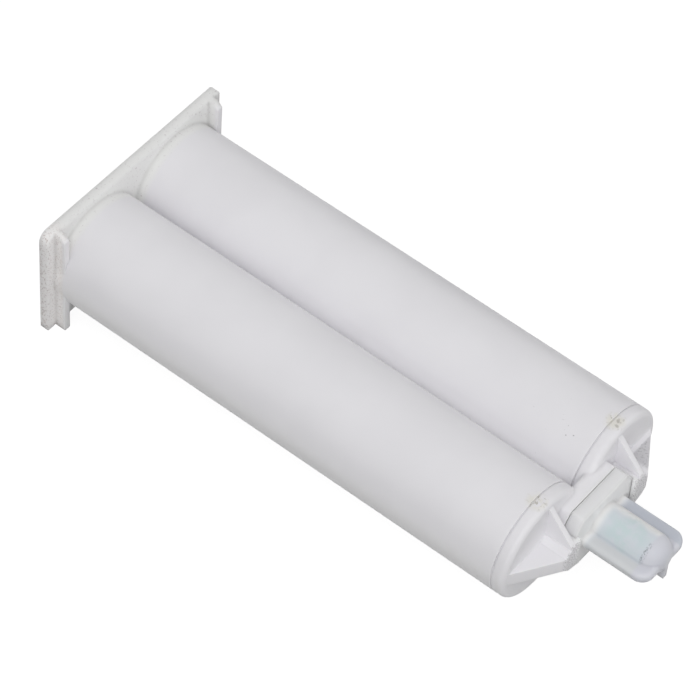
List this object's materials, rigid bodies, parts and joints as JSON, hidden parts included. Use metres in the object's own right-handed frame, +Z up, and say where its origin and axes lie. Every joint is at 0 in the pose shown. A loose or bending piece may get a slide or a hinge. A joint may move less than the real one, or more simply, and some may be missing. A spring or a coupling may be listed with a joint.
{
  "type": "epoxy dual cartridge",
  "caption": "Two-barrel adhesive cartridge with side-by-side barrels, a gun flange at the back, sliding pistons and a quarter-turn nose cap.",
  "frame": {"origin": "middle of the flange's rear face, halfway between the two barrels", "axes": "+X along the barrels from the flange to the nose, +Y across from one barrel to the other, +Z up as the cartridge lies on its side"},
  "size_m": [0.1204, 0.047, 0.0252],
  "materials": {
    "white_polypropylene": "satin moulded",
    "natural_polyethylene": "milky, see-through",
    "piston_polyethylene": "satin moulded"
  },
  "bodies": {
    "cartridge": {"cartridge_body": "white_polypropylene"},
    "cap": {"nose_cap": "natural_polyethylene"},
    "piston_left": {"piston_a": "piston_polyethylene"},
    "piston_right": {"piston_b": "piston_polyethylene"}
  },
  "joints": [
    {"name": "cap_turn", "type": "hinge", "parent": "cartridge", "child": "cap", "pos_m": [0.1055, 0, 0], "axis": [1, 0, 0], "range_deg": [0, 90]},
    {"name": "piston_a_slide", "type": "slide", "parent": "cartridge", "child": "piston_left", "axis": [1, 0, 0], "range_m": [0, 0.0878]},
    {"name": "piston_b_slide", "type": "slide", "parent": "cartridge", "child": "piston_right", "axis": [1, 0, 0], "range_m": [0, 0.0878]}
  ]
}
